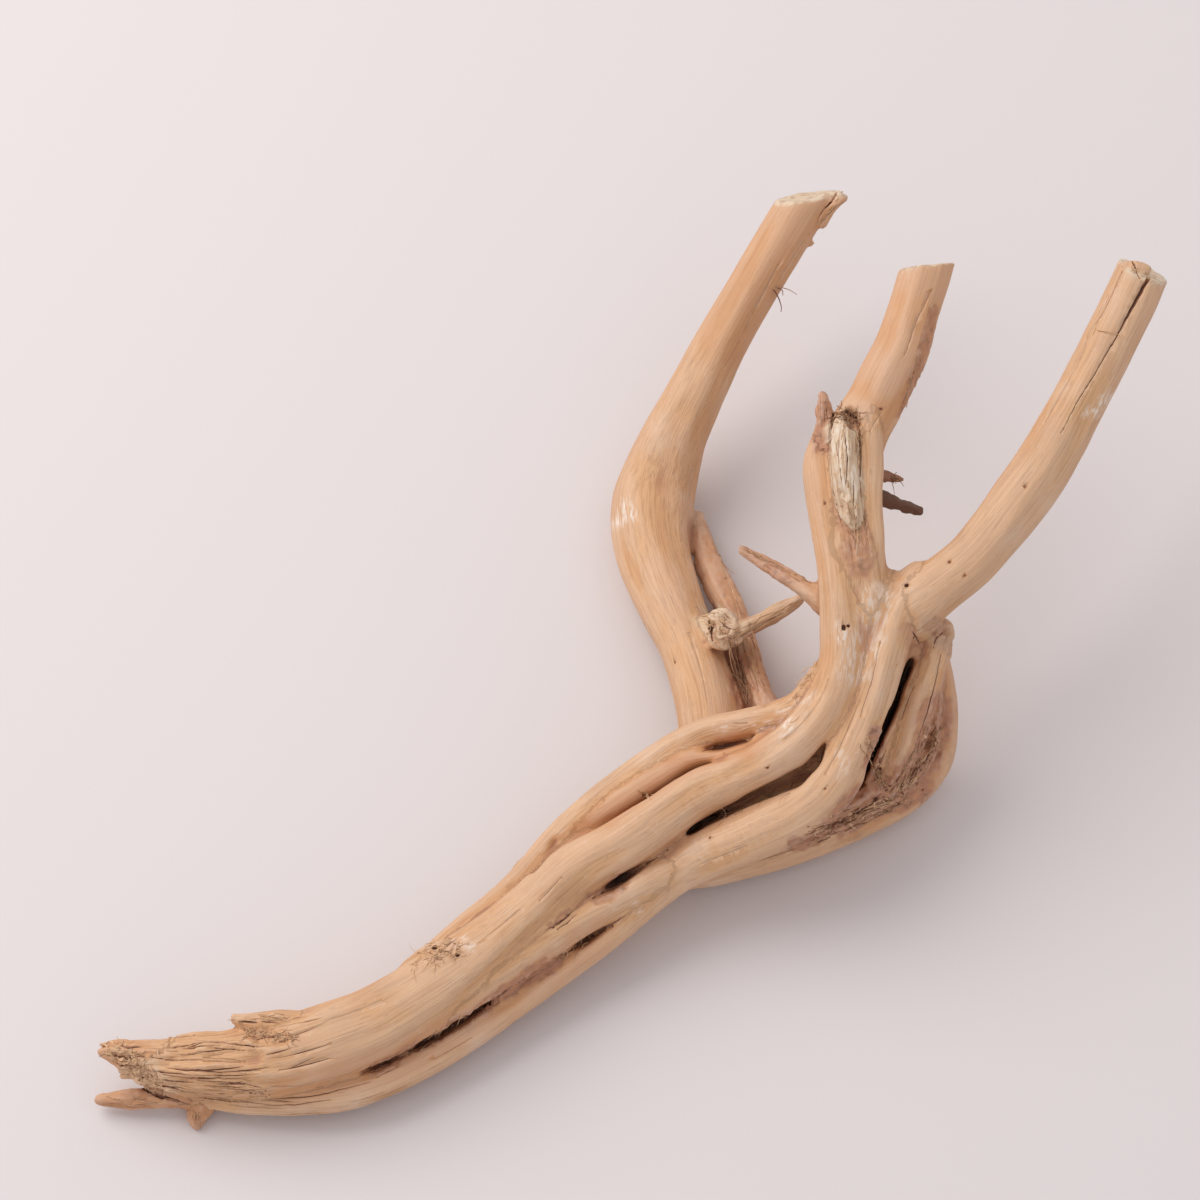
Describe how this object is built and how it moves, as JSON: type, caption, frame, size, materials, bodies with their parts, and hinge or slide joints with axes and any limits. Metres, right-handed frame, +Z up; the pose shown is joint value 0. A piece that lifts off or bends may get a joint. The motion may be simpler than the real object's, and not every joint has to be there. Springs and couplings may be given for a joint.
{
  "type": "piece of driftwood",
  "caption": "Gnarled piece of driftwood: a trunk of fused roots with deep clefts, torn at its lower end, that forks into sawn-off stems. It lies on a table as a decoration.",
  "frame": {"origin": "on the table under the middle of the wood's bounding box", "axes": "+Z up from the table, +X from the torn end of the trunk towards the stems on the right, +Y towards the stems' sawn tips"},
  "size_m": [0.2064, 0.1885, 0.0642],
  "materials": {
    "weathered_wood": "bare, water-worn and satin, with fine grain along each root and dark clefts"
  },
  "bodies": {
    "root": {"driftwood": "weathered_wood"}
  },
  "joints": []
}
